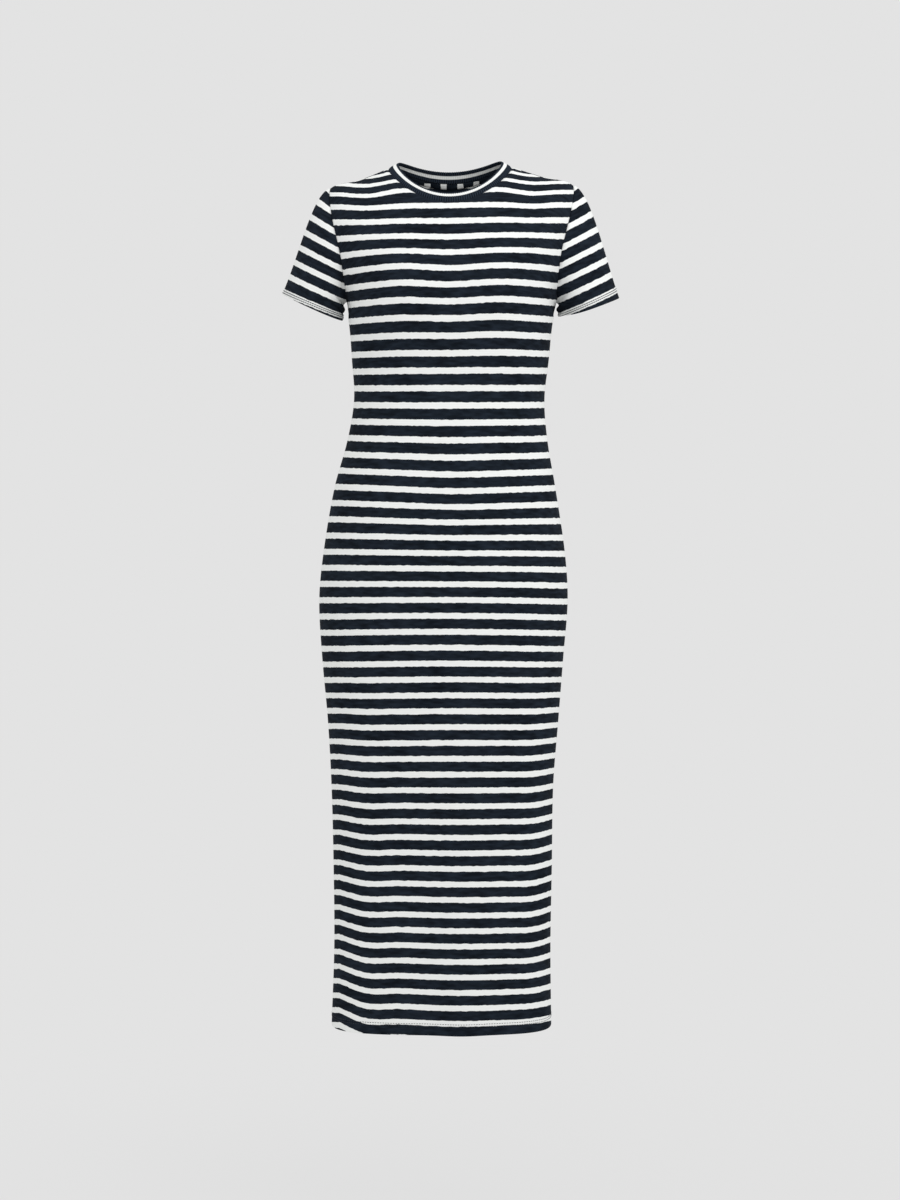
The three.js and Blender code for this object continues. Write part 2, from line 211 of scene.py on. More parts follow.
# Soft creases: which piece, the two ends in front view, the width and the depth.
CREASES = [
    ("front", 141, -176, 118, -158, 7, 1.6),
    ("front", 146, -196, 122, -184, 8, 1.2),
    ("front", 141, -186, 139, -203, 3, 1.8),
    ("front", -141, -176, -120, -160, 7, 1.4),
    ("front", -145, -198, -120, -190, 8, 1.2),
    ("front", -141, -183, -139, -202, 3, 1.8),
    ("back", 141, -176, 112, -158, 9, 1.6),
    ("back", -141, -176, -112, -160, 9, 1.6),
    ("back", 141, -186, 138, -203, 3.5, 1.8),
    ("back", -141, -184, -138, -202, 3.5, 1.8),
    ("sleeve_left", 149, -190, 168, -170, 3.5, 2.2),
    ("sleeve_left", 151, -200, 172, -188, 3, 1.8),
    ("sleeve_left", 150, -178, 166, -152, 5, 1.5),
    ("sleeve_right", -147, -190, -160, -172, 3.5, 1.8),
    ("sleeve_right", -147, -202, -162, -190, 3, 1.4),
]
# Each has a bank beside it: its share of the depth, and its distance in widths of the crease.
BANK_SHARE, BANK_AWAY = 0.5, 1.6

# Colours of the dyed and undyed yarn and of the thread, and how unevenly the yarns take light.
NAVY = (0.011, 0.0155, 0.0228)
WHITE = (0.89, 0.905, 0.89)
THREAD = (0.02, 0.025, 0.034)
NAVY_MOTTLE, WHITE_MOTTLE = 0.5, 0.015
# Half a white stripe, its soft edge and how far the edge wavers, as shares of the repeat.
STRIPE_HALF_WHITE, STRIPE_EDGE, STRIPE_WAVER = 0.182, 0.012, 0.11
BAND_EDGE = 0.015
# The knit: width and height of a stitch, the slant of its legs, and the relief of the jersey and the rib.
WALE, COURSE, LEG_SLANT = 1.15, 0.85, 1.2
JERSEY_RELIEF, RIB_RELIEF = 0.25, 0.15

# What each piece was cut to, in metres, before it was sewn: width, length and flat area.
CUTS = {
    "front": (0.47, 1.2, 0.49),
    "back": (0.48, 1.21, 0.5),
    "sleeve_left": (0.31, 0.16, 0.03),
    "sleeve_right": (0.31, 0.16, 0.03),
    "neckband": (0.485, 0.0175, None),
    "neck_tape": (0.19, 0.01, 0.0017),
}

# Camera, background and floor, in metres. The floor glows at the background's level, by this share near
# the dress, where it takes the shadow, and fully from further out.
CAMERA_DISTANCE, CAMERA_HEIGHT = 3.0, -0.5975
LENS, SENSOR = 65.2, 36.0
BACKGROUND = (0.768, 0.768, 0.768, 1.0)
FLOOR_Z, FLOOR_RADIUS, FLOOR_SIDES = -1.5, 12, 96
FLOOR_NEAR, FLOOR_FAR, FLOOR_GLOW = 0.2, 1.4, 0.86
# Lights: the place, what each is turned to, its diameter and its power in watts.
LIGHTS = {
    "key": ((1.9, -2.3, 0.7), (0, 0, -0.55), 1.4, 16),
    "top": ((0.3, -1.1, 1.7), (0, 0.02, -0.02), 0.9, 12),
}


def hermite(start, leave, end, arrive, u):
    """A cubic from start to end, which leaves one and arrives at the other at the slopes given."""
    v = 1 - u
    return v * v * (1 + 2 * u) * start + v * v * u * leave + u * u * (3 - 2 * u) * end - u * u * v * arrive


def curve(places, values, at):
    """A smooth curve through values at rising places, read at any others."""
    places, values = np.asarray(places, float), np.asarray(values, float)
    last = len(places) - 1
    below = np.maximum(np.arange(last + 1) - 1, 0)
    above = np.minimum(np.arange(last + 1) + 1, last)
    slope = (values[above] - values[below]) / (places[above] - places[below])
    i = np.clip(np.searchsorted(places, at, side="left") - 1, 0, last - 1)
    span = places[i + 1] - places[i]
    return hermite(values[i], slope[i] * span, values[i + 1], slope[i + 1] * span, (at - places[i]) / span)


def track(name, run):
    """One column of RINGS at a run, on a smooth curve through its rows."""
    return curve(RUNS, RINGS[:, RING_NAMES.index(name)], run)


def soft_track(name, run, spread):
    """One column averaged over a spread of runs either side."""
    weights = (1, 2, 3, 2, 1)
    taps = (weight * track(name, run + spread * (k - 2) / 2) for k, weight in enumerate(weights))
    return sum(taps) / sum(weights)


def round_loop(first, second, third, fourth, angle):
    """A smooth value round a loop that passes through four given ones, a quarter turn apart."""
    mean = (first + second + third + fourth) / 4
    pinch = (first + third - second - fourth) / 4
    return (mean + (first - third) / 2 * np.cos(angle) + (second - fourth) / 2 * np.sin(angle)
            + pinch * np.cos(2 * angle))


def bell(u):
    return np.exp(-u * u)


def ease(u):
    t = np.clip(u, 0, 1)
    return t * t * (3 - 2 * t)


def stack(x, y, z):
    return np.stack(np.broadcast_arrays(x, y, z), axis=-1)


def body_point(angle, run):
    """The outside of the body. The angle is 0 at the middle of the front, a quarter turn at the +X side."""
    angle, run = np.broadcast_arrays(np.asarray(angle, float), np.asarray(run, float))
    sine, cosine = np.sin(angle), np.cos(angle)
    from_point = 1 - np.abs(sine) ** SHOULDER_SHARPNESS
    spread = SHOULDER_SPREAD * bell((run - ARMHOLE_OVER) / SHOULDER_WIDE) * from_point

    def at(name):
        return soft_track(name, run, spread)

    square = at("square")
    corner = (np.abs(sine) ** square + np.abs(cosine) ** square) ** (-1 / square)
    side_y = at("ySide")
    depth = np.where(cosine > 0, at("yFront"), at("yBack")) - side_y
    x = np.where(sine > 0, at("plusX"), at("minusX")) * sine * corner
    z = round_loop(at("zFront"), at("zPlusX"), at("zBack"), at("zMinusX"), angle)
    bust = BUST["lift"] * bell((np.abs(x) - BUST["x"]) / BUST["wide"])
    bust = bust * bell((z - BUST["z"]) / BUST["tall"])
    fall = ease((z - FLUTE["top"]) / (FLUTE["hem"] - FLUTE["top"]))
    flute = FLUTE["lift"] * bell((x - FLUTE["x"]) / FLUTE["wide"]) * fall
    y = side_y + depth * np.abs(cosine) * corner - np.maximum(cosine, 0) * (bust + flute)
    return stack(x, y, z)


def panel_angle(share, run, bite):
    """The angle of a point on a panel, at a share of the way from its middle to its edge."""
    opened = np.sqrt(np.clip(1 - ((run - ARMHOLE_MIDDLE) / ARMHOLE_REACH) ** 2, 0, None))
    return share * (QUARTER - np.radians(bite) * opened * np.abs(share))


def armhole_angle_run(side, turn):
    """The armhole's edge as angle and run. A turn of 0 is under the arm, a quarter turn is the front."""
    bite = np.where(np.sin(turn) > 0, FRONT_BITE, BACK_BITE)
    angle = side * (QUARTER - np.radians(bite) * np.sin(turn))
    return angle, ARMHOLE_MIDDLE - ARMHOLE_REACH * np.cos(turn)


def sleeve_hem(shape, turn):
    """The hem of a sleeve. A turn of 0 is under the arm, a quarter turn is the front."""
    share = (1 - np.cos(turn)) / 2
    (inner_x, inner_z), (outer_x, outer_z) = shape["inner"], shape["outer"]
    tuck_in, tuck_up = shape["tuck"]
    tucked = (1 - share) ** TUCK_SHARPNESS
    x = shape["side"] * (inner_x + (outer_x - inner_x) * share - tuck_in * tucked)
    z = inner_z + (outer_z - inner_z) * share - SLEEVE_TILT * np.sin(turn) + tuck_up * tucked
    return stack(x, SLEEVE_MIDDLE_Y - SLEEVE_HALF_DEPTH * np.sin(turn), z)


def sleeve_axes(shape):
    """Unit vectors of a sleeve in front view: along its hem towards the body, and up its middle."""
    (inner_x, inner_z), (outer_x, outer_z) = shape["inner"], shape["outer"]
    across = np.array([shape["side"] * (inner_x - outer_x), 0, inner_z - outer_z])
    across /= np.linalg.norm(across)
    return across, np.array([shape["side"] * across[2], 0, -shape["side"] * across[0]])


def sleeve_point(shape, turn, along):
    """The outside of a sleeve, from the armhole at 0 to the hem at 1."""
    turn, along = np.broadcast_arrays(np.asarray(turn, float), np.asarray(along, float))
    side = shape["side"]
    start = body_point(*armhole_angle_run(side, turn))
    length = round_loop(*SLEEVE_LENGTH, turn)[..., None]
    hang = -sleeve_axes(shape)[1] * length
    leave = stack(side * round_loop(*PULL_OUTWARD, turn), -round_loop(*PULL_FORWARD, turn),
                  -round_loop(*PULL_DOWN, turn))
    return hermite(start, leave, sleeve_hem(shape, turn), hang, along[..., None])


def band_point(angle, up):
    """The outside of the neckband, from its seam at 0 to its top edge at 1."""
    angle, up = np.broadcast_arrays(np.asarray(angle, float), np.asarray(up, float))
    seam = body_point(angle, NECK_RUN)
    inward = stack(-seam[..., 0], track("ySide", NECK_RUN) - seam[..., 1], 0)
    inward /= np.linalg.norm(inward, axis=-1, keepdims=True)
    leaning = round_loop(*BAND_INWARD, angle) * up - BAND_BOW * np.sin(math.pi * up)
    return seam + inward * leaning[..., None] + stack(0, 0, round_loop(*BAND_RISE, angle) * up)


def unit(v):
    return v / np.linalg.norm(v, axis=-1, keepdims=True)


def frame_at(surface, across, up, step=1e-3):
    """Unit tangents of a surface, and its normal as the one across times the one up."""
    along = unit(surface(across + step, up) - surface(across - step, up))
    rising = unit(surface(across, up + step) - surface(across, up - step))
    return along, rising, unit(np.cross(along, rising))


def from_ends(points, axis):
    """Distance of every grid point from the two ends of its row or column, along the grid."""
    pieces = np.linalg.norm(np.diff(points, axis=axis), axis=-1)
    walk = np.cumsum(pieces, axis=axis)
    zero = np.zeros_like(np.take(walk, [0], axis=axis))
    walk = np.concatenate([zero, walk], axis=axis)
    return walk, np.take(walk, [-1], axis=axis) - walk


def mesh_object(name, points, faces, material):
    """A smooth mesh in the scene, from points in millimetres."""
    mesh = bpy.data.meshes.new(name)
    mesh.from_pydata((points * MM).tolist(), [], faces)
    mesh.polygons.foreach_set("use_smooth", np.ones(len(mesh.polygons), bool))
    mesh.materials.append(material)
    mesh.update()
    made = bpy.data.objects.new(name, mesh)
    bpy.context.scene.collection.objects.link(made)
    return made


def cloth_object(name, grid, paired, tube, maps, material):
    """A closed sheet as a mesh. The grid's rows run round its section: outside, inside and rims.

    Rows i and 2 * paired - 1 - i face each other across the cloth. maps are UV maps by name.
    """
    rows, columns = grid.shape[:2]
    spans = columns if tube else columns - 1
    r, c = np.meshgrid(np.arange(rows), np.arange(spans), indexing="ij")
    corner_rows = np.stack([r, r, r + 1, r + 1], axis=-1).reshape(-1, 4)
    corner_columns = np.stack([c, c + 1, c + 1, c], axis=-1).reshape(-1, 4)
    faces = [list(zip(a, b)) for a, b in zip(corner_rows.tolist(), corner_columns.tolist())]
    if not tube:
        last = columns - 1
        for i in range(paired - 1):
            far = 2 * paired - 1 - i
            faces.append([(i, 0), (i + 1, 0), (far - 1, 0), (far, 0)])
            faces.append([(i, last), (far, last), (far - 1, last), (i + 1, last)])
        if rows > 2 * paired:
            rim = [0, *range(rows - 1, 2 * paired - 2, -1)]
            faces.append([(i, last) for i in rim])
            faces.append([(i, 0) for i in reversed(rim)])
    flat = np.array([pair for face in faces for pair in face])
    vertex = (flat[:, 0] % rows) * columns + flat[:, 1] % columns
    sizes = np.array([len(face) for face in faces])
    starts = np.concatenate([[0], np.cumsum(sizes)[:-1]])
    polygons = [vertex[a:a + n].tolist() for a, n in zip(starts.tolist(), sizes.tolist())]
    made = mesh_object(name, grid.reshape(-1, 3), polygons, material)
    for map_name, values in maps.items():
        layer = made.data.uv_layers.new(name=map_name)
        layer.data.foreach_set("uv", values[flat[:, 0] % rows, flat[:, 1]].astype(np.float32).ravel())
    return made


def loop_length(row):
    """Length of a row of points that ends where it starts."""
    return np.linalg.norm(np.diff(row, axis=0), axis=-1).sum()


def rim_rows(outer_row, inner_row, edge_direction, count):
    """Rows of a rounded edge from the inner row round to the outer one, without the two."""
    middle = (outer_row + inner_row) / 2
    half = (outer_row - inner_row) / 2
    reach = np.linalg.norm(half, axis=-1, keepdims=True)
    rows = []
    for k in range(1, count + 1):
        turn = math.pi * k / (count + 1)
        rows.append(middle - half * math.cos(turn) + edge_direction * reach * math.sin(turn))
    return np.array(rows)


def map_rows(*axes):
    """A UV map of a hemmed sheet's outside, carried on to its inside and its rim."""
    outer = np.stack(axes, axis=-1)
    return np.concatenate([outer, outer[::-1], np.repeat(outer[:1], RIM_ROWS, axis=0)])


def hemmed_wall(from_hem, turned):
    """Thickness of the cloth at a distance from its hem, which is turned up this far."""
    return LAYER + (HEM_LAYER - LAYER) * ease((turned + 1 - from_hem) / 2)


def crease_depth(name, points):
    """How far the listed creases push the cloth in."""
    total = np.zeros(points.shape[:-1])
    for where, x0, z0, x1, z1, width, depth in CREASES:
        if where != name:
            continue
        reach = np.array([x1 - x0, z1 - z0], float)
        offset = np.stack([points[..., 0] - x0, points[..., 2] - z0], axis=-1)
        t = np.clip(offset @ reach / (reach @ reach), 0, 1)
        away = np.linalg.norm(offset - t[..., None] * reach, axis=-1)
        profile = bell(away / width) - BANK_SHARE * bell(away / width - BANK_AWAY)
        total += depth * profile * (1 - ease(t)) ** 0.5
    return total


def stripe_at_height(level):
    """Stripe number at a height of the middle of the front, carried on evenly past the table's top."""
    z = level + STRIPE_DROP
    top = max(STRIPE_HEIGHT)
    inside = curve(STRIPE_HEIGHT[::-1], STRIPE_NUMBER[::-1], np.minimum(z, top))
    return inside - np.maximum(z - top, 0) / SHOULDER_REPEAT


def sag_at(number, x):
    """How far the stripes sag at this stripe number and distance across the front, in millimetres."""
    across = np.clip(x, SAG_X[0], SAG_X[-1])
    columns = np.stack([curve(SAG_STRIPE, column, np.clip(number, SAG_STRIPE[0], SAG_STRIPE[-1]))
                        for column in SAG.T])
    places = np.array(SAG_X, float)
    i = np.clip(np.searchsorted(places, across, side="left") - 1, 0, len(places) - 2)
    slope = np.gradient(columns, places, axis=0)
    span = places[i + 1] - places[i]

    def pick(values, k):
        return np.take_along_axis(values, k[None], axis=0)[0]

    return hermite(pick(columns, i), pick(slope, i) * span, pick(columns, i + 1), pick(slope, i + 1) * span,
                   (across - places[i]) / span)


def front_height(points):
    """Height on the middle of the front that looks level with each point, from the camera's distance."""
    runs = panel_runs()
    centre = body_point(np.zeros_like(runs), runs)
    middle_y = np.interp(points[..., 2], centre[:, 2], centre[:, 1])
    nearer = (CAMERA_DISTANCE / MM + middle_y) / (CAMERA_DISTANCE / MM + points[..., 1])
    eye = CAMERA_HEIGHT / MM
    return eye + (points[..., 2] - eye) * nearer


def front_stripes(points):
    """Stripe number of each point of the front."""
    height = front_height(points)
    level = stripe_at_height(height)
    return stripe_at_height(height + sag_at(level, points[..., 0]))


def back_stripes(points):
    """Stripe number of each point of the back: level, and matched to the front along the side seams."""
    x, y, z = points[..., 0], points[..., 1], points[..., 2]
    runs = panel_runs()
    centre = body_point(np.full_like(runs, math.pi), runs)
    climbed, _ = from_ends(centre, 0)
    cloth_above = np.interp(np.minimum(z, YOKE_HEIGHT), centre[:, 2], climbed)
    cloth_above = np.maximum(cloth_above - np.interp(LEVEL_UNTIL, centre[:, 2], climbed), 0)

    def along_yoke(values):
        return np.array([np.interp(YOKE_HEIGHT, z[:, k], values[:, k]) for k in range(points.shape[1])])

    yoke_x, yoke_y = along_yoke(x), along_yoke(y)
    order = np.argsort(yoke_x)
    forward = np.maximum(np.interp(x, yoke_x[order], yoke_y[order]) - y, 0) * (z > YOKE_HEIGHT)
    over = np.maximum(z - YOKE_HEIGHT, 0) * YOKE_RISE + forward * YOKE_FORWARD
    number = stripe_at_height(np.minimum(z, LEVEL_UNTIL)) - (cloth_above + over) / BACK_REPEAT
    fade = 1 - ease((z[:, [0, -1]] - MATCHED_UNTIL) / MATCH_FADE)
    edges = (front_stripes(points[:, [0, -1]]) - number[:, [0, -1]]) * fade
    share = np.linspace(-1, 1, points.shape[1])
    return number + edges[:, :1] * ease(-share) + edges[:, 1:] * ease(share)


def panel_runs():
    """Runs of a panel's rows from the hem to the neck seam, closer at the hem and round the armhole."""
    hem = np.arange(HEM_LAYER / 2, HEM_TURN + 2, HEM_STEP)
    skirt = np.linspace(hem[-1], ARMHOLE_UNDER, SKIRT_ROWS + 1)[1:]
    armhole = ARMHOLE_MIDDLE - ARMHOLE_REACH * np.cos(np.linspace(0, math.pi, ARMHOLE_ROWS + 1)[1:])
    shoulder = np.linspace(ARMHOLE_OVER, NECK_RUN, SHOULDER_ROWS + 1)[1:]
    return np.concatenate([hem, skirt, armhole, shoulder])


def groove(distance):
    """Depth of the groove at a seam this far away, with the cloth rising a little beside it."""
    ridge = RIDGE_HEIGHT * bell((distance - RIDGE_AWAY) / RIDGE_WIDTH)
    return GROOVE_DEPTH * bell(distance / GROOVE_WIDTH) - ridge


def stitch_dip(height, rows):
    """How far the needle rows pull a hem in."""
    return sum(NEEDLE_DEPTH * bell((height - row) / NEEDLE_WIDTH) for row in rows)


def sleeve_stripes(shape, points):
    """Stripe number of each point of a sleeve: 0 on the last white stripe, and falling up the sleeve."""
    across_axis, up_axis = sleeve_axes(shape)
    (inner_x, inner_z), (outer_x, outer_z) = shape["inner"], shape["outer"]
    from_hem = points - np.array([shape["side"] * (inner_x + outer_x) / 2, 0, (inner_z + outer_z) / 2])
    height = from_hem @ up_axis + SLEEVE_TILT * (SLEEVE_MIDDLE_Y - points[..., 1]) / SLEEVE_HALF_DEPTH
    sideways = from_hem @ across_axis
    slope = shape["spread"] * (height / SPREAD_HEIGHT) ** 2 + shape["slant"]
    slope += shape["hem_slant"] * (1 - ease(height / HEM_SLANT_HEIGHT))
    return (shape["first"] - height - slope * sideways) / shape["repeat"]


def panel(name, middle, bite, stripes, material):
    """The front or the back, from the hem to the neck seam and from edge to edge."""
    crowding = QUARTER * EDGE_CROWDING
    share = np.sin(np.linspace(-1, 1, PANEL_COLUMNS + 1) * crowding) / math.sin(crowding)
    runs = panel_runs()[:, None]
    angle = middle + panel_angle(share[None, :], runs, bite)
    surface = body_point(angle, runs)
    _, rising, normal = frame_at(body_point, angle, np.broadcast_to(runs, angle.shape))
    left, right = from_ends(surface, 1)
    from_hem, from_neck = from_ends(surface, 0)
    from_hem = from_hem + runs[0]
    pressed = groove(np.minimum(left, right)) + groove(from_neck) + crease_depth(name, surface)
    pressed += stitch_dip(from_hem, HEM_STITCH_ROWS)
    outer = surface - normal * pressed[..., None]
    inner = surface - normal * hemmed_wall(from_hem, HEM_TURN)[..., None]
    rim = rim_rows(outer[0], inner[0], -rising[0], RIM_ROWS)
    grid = np.concatenate([outer, inner[::-1], rim])
    across = left - left[:, [PANEL_COLUMNS // 2]]
    maps = {
        "stripe": map_rows(stripes(surface), from_hem * MM),
        "cloth": map_rows(across * MM, from_hem * MM),
    }
    return cloth_object(name + "_cloth", grid, len(outer), False, maps, material)


def sleeve(name, material):
    """A set-in sleeve, from its turned-up hem to the armhole."""
    shape = SLEEVES[name]
    side = shape["side"]
    turn = side * np.linspace(0, 2 * math.pi, SLEEVE_COLUMNS + 1)[None, :]
    length = round_loop(*SLEEVE_LENGTH, turn)
    depths = np.arange(HEM_LAYER / 2, SLEEVE_HEM_TURN + 2, SLEEVE_HEM_STEP)[:, None]
    hem_share = 1 - depths / length
    rest = hem_share[-1:] * (1 - np.linspace(0, 1, SLEEVE_ROWS + 1)[1:, None])
    along = np.concatenate([hem_share, rest])
    turns = np.broadcast_to(turn, along.shape)
    surface = sleeve_point(shape, turns, along)
    _, rising, normal = frame_at(lambda a, b: sleeve_point(shape, a, b), turns, along)
    outward = -side * normal
    from_hem, from_seam = from_ends(surface, 0)
    from_hem = from_hem + depths[0]
    armhole_angle, armhole_run = armhole_angle_run(side, turn)
    body_normal = frame_at(body_point, armhole_angle, armhole_run)[2]
    numbers = sleeve_stripes(shape, surface)
    pressed = stitch_dip(numbers * shape["repeat"], SLEEVE_STITCH_ROWS) + crease_depth(name, surface)
    outer = surface - body_normal * groove(from_seam)[..., None] - outward * pressed[..., None]
    inner = outer - outward * hemmed_wall(from_hem, SLEEVE_HEM_TURN)[..., None]
    rim = rim_rows(outer[0], inner[0], rising[0], RIM_ROWS)
    grid = np.concatenate([outer, inner[::-1], rim])[:, :-1]
    across = np.broadcast_to(np.abs(turn) / (2 * math.pi) * loop_length(surface[0]), along.shape)
    maps = {
        "stripe": map_rows(numbers, from_hem * MM),
        "cloth": map_rows(across * MM, from_hem * MM),
    }
    return cloth_object(name + "_cloth", grid, len(outer), True, maps, material)


def neckband(material):
    """The folded rib band round the neck, from its seam over the fold and down the inside."""
    angle = np.linspace(0, 2 * math.pi, RIBS * RIB_COLUMNS + 1)[None, :]
    up = np.linspace(0, BAND_TOP, BAND_ROWS + 1)[:, None]
    angles, ups = np.broadcast_arrays(angle, up)
    surface = band_point(angles, ups)
    _, rising, normal = frame_at(band_point, angles, ups)
    from_seam, _ = from_ends(surface, 0)
    rib = RIB_HEIGHT * np.cos(RIBS * angles) * ease(from_seam / 2)
    body_normal = frame_at(body_point, angle, np.full_like(angle, NECK_RUN))[2]
    outer = surface + normal * rib[..., None] - body_normal * groove(from_seam)[..., None]
    inner = surface - normal * (BAND_LAYER + rib)[..., None]
    rim = rim_rows(inner[-1], outer[-1], rising[-1], FOLD_ROWS)
    grid = np.concatenate([outer, rim, inner[::-1]])[:, :-1]
    phase = np.broadcast_to(RIBS * angle / (2 * math.pi), angles.shape)
    outside_up = BAND_STRIPE_MIDDLE + (ups - BAND_OUTSIDE_MIDDLE) * BAND_OUTSIDE_NARROWER
    outside = np.stack([outside_up, phase], axis=-1)
    inside = np.stack([ups, phase], axis=-1)
    around = np.broadcast_to(angle / (2 * math.pi) * loop_length(surface[0]), angles.shape)
    cloth = np.stack([around, from_seam], axis=-1) * MM

    def folded(first, second):
        return np.concatenate([first, np.repeat(second[-1:], FOLD_ROWS, axis=0), second[::-1]])

    maps = {"stripe": folded(outside, inside), "cloth": folded(cloth, cloth)}
    return cloth_object("neckband_cloth", grid, 0, True, maps, material)


def neck_tape(material):
    """A folded strip over the back neck seam, a little rounded, with its stripes across it."""
    angle = math.pi + np.linspace(-TAPE_REACH, TAPE_REACH, TAPE_COLUMNS + 1)[None, :]
    per_run = np.linalg.norm(body_point(angle, NECK_RUN) - body_point(angle, NECK_RUN - 1), axis=-1)
    drop = np.linspace(1, 0, TAPE_ROWS + 1)[:, None]
    runs = NECK_RUN - drop * TAPE_DEPTH / per_run
    angles = np.broadcast_to(angle, runs.shape)
    surface = body_point(angles, runs)
    normal = frame_at(body_point, angles, runs)[2]
    crown = 1 - np.abs(2 * drop - 1) ** TAPE_EVENNESS
    touching = surface - normal * LAYER
    facing = touching - normal * (TAPE_EDGE + (TAPE_LAYER - TAPE_EDGE) * crown)[..., None]
    grid = np.concatenate([touching, facing[::-1]])
    left, _ = from_ends(surface, 1)
    around = left - left[:, [TAPE_COLUMNS // 2]]
    numbers = np.clip((around + TAPE_OFFSET) / TAPE_REPEAT, -TAPE_STRIPES / 2, TAPE_STRIPES / 2) + 0.5
    above = facing[..., 2] - np.interp(facing[..., 0], TAPE_TOP_X, TAPE_TOP_Z)
    height = np.broadcast_to((1 - drop) * TAPE_DEPTH, runs.shape)
    stripe = np.stack([np.broadcast_to(numbers, runs.shape), above], axis=-1)
    cloth = np.stack([around, height], axis=-1) * MM
    maps = {
        "stripe": np.concatenate([stripe, stripe[::-1]]),
        "cloth": np.concatenate([cloth, cloth[::-1]]),
    }
    return cloth_object("neck_tape_cloth", grid, len(touching), False, maps, material)


def stitches(name, path, normal, length, gap, radius, material):
    """A row of sewn stitches along a path, as small capsules half sunk in the cloth."""
    walk, _ = from_ends(path, 0)
    count = int(walk[-1] // (length + gap))
    pitch = walk[-1] / count
    starts = np.arange(count) * pitch

    def at(distance, values):
        return np.stack([np.interp(distance, walk, values[:, k]) for k in range(3)], axis=-1)

    first, last = at(starts, path), at(starts + length, path)
    out = unit(at(starts + length / 2, normal))
    sideways = unit(np.cross(out, unit(last - first)))
    vertices = []
    for share, swell in STITCH_RINGS:
        centre = first + (last - first) * share + out * radius * STITCH_LIFT
        for k in range(STITCH_SIDES):
            turn = 2 * math.pi * k / STITCH_SIDES
            vertices.append(centre + radius * swell * (sideways * math.cos(turn) + out * math.sin(turn)))
    points = np.stack(vertices, axis=1).reshape(-1, 3)
    per = len(STITCH_RINGS) * STITCH_SIDES
    faces = []
    for base in range(0, count * per, per):
        for ring in range(base, base + per - STITCH_SIDES, STITCH_SIDES):
            for k in range(STITCH_SIDES):
                a, b = ring + k, ring + (k + 1) % STITCH_SIDES
                faces.append((b, a, a + STITCH_SIDES, b + STITCH_SIDES))
        faces.append([base + k for k in range(STITCH_SIDES)])
        faces.append([base + per - 1 - k for k in range(STITCH_SIDES)])
    return mesh_object(name, points, faces, material)


def body_hem_stitches(name, run, material):
    """A needle row round the body, at a distance up from its hem."""
    angle = np.linspace(0, 2 * math.pi, BODY_ROW_STEPS + 1)
    path = body_point(angle, run)
    normal = frame_at(body_point, angle, np.full_like(angle, run))[2]
    return stitches(name, path, normal, *BODY_STITCH, material)


def sleeve_hem_stitches(name, sleeve_name, row, material):
    """A needle row round a sleeve, at a distance from the middle of its last white stripe."""
    shape = SLEEVES[sleeve_name]
    turn = shape["side"] * np.linspace(0, 2 * math.pi, SLEEVE_ROW_STEPS + 1)
    depths = np.linspace(0, SLEEVE_HEM_TURN, SLEEVE_ROW_TRIES + 1)[:, None]
    tries = 1 - depths / round_loop(*SLEEVE_LENGTH, turn)
    risen = -sleeve_stripes(shape, sleeve_point(shape, turn, tries)) * shape["repeat"]
    along = np.array([np.interp(row, risen[:, k], tries[:, k]) for k in range(len(turn))])
    path = sleeve_point(shape, turn, along)
    normal = frame_at(lambda a, b: sleeve_point(shape, a, b), turn, along)[2] * -shape["side"]
    return stitches(name, path, normal, *SLEEVE_STITCH, material)


class Nodes:
    """A short way to write a material's nodes."""

    def __init__(self, name):
        self.material = bpy.data.materials.new(name)
        self.material.use_nodes = True
        self.tree = self.material.node_tree
        self.shader = self.tree.nodes["Principled BSDF"]

    def add(self, kind, inputs=None, **settings):
        node = self.tree.nodes.new("ShaderNode" + kind)
        for key, value in settings.items():
            setattr(node, key, value)
        for key, value in (inputs or {}).items():
            self.put(node.inputs[key], value)
        return node

    def put(self, socket, value):
        if isinstance(value, bpy.types.NodeSocket):
            self.tree.links.new(value, socket)
        else:
            socket.default_value = value

    def maths(self, operation, *values):
        return self.add("Math", dict(enumerate(values)), operation=operation).outputs[0]

    def uv(self, name):
        """Both axes of a UV map."""
        split = self.add("SeparateXYZ", {0: self.add("UVMap", uv_map=name).outputs[0]})
        return split.outputs[0], split.outputs[1]

    def noise(self, vector, scale, detail=2.0):
        return self.add("TexNoise", {"Vector": vector, "Scale": scale, "Detail": detail}).outputs["Fac"]

    def step(self, value, low, high, bottom, top):
        """A soft step from bottom to top as a value goes from low to high."""
        inputs = {"Value": value, "From Min": low, "From Max": high, "To Min": bottom, "To Max": top}
        return self.add("MapRange", inputs, interpolation_type="SMOOTHSTEP").outputs[0]

    def mix(self, factor, first, second):
        node = self.add("Mix", data_type="RGBA")
        for index, value in ((0, factor), (6, first), (7, second)):
            self.put(node.inputs[index], value)
        return node.outputs[2]

    def scaled(self, colour, factor):
        """A colour brightened by a value."""
        return self.add("VectorMath", {0: colour, "Scale": factor}, operation="SCALE").outputs[0]


def finish_cloth(nodes, colour, relief):
    """A matte knit of this colour, with a relief in millimetres."""
    bump = nodes.add("Bump", {"Strength": 0.35, "Distance": relief * MM, "Height": jersey_height(nodes)})
    nodes.put(nodes.shader.inputs["Base Color"], colour)
    nodes.put(nodes.shader.inputs["Normal"], bump.outputs[0])
    nodes.shader.inputs["Roughness"].default_value = 0.92
    nodes.shader.inputs["Specular IOR Level"].default_value = 0.02
    nodes.shader.inputs["Sheen Weight"].default_value = 0.01
    nodes.shader.inputs["Sheen Roughness"].default_value = 0.6
    return nodes.material


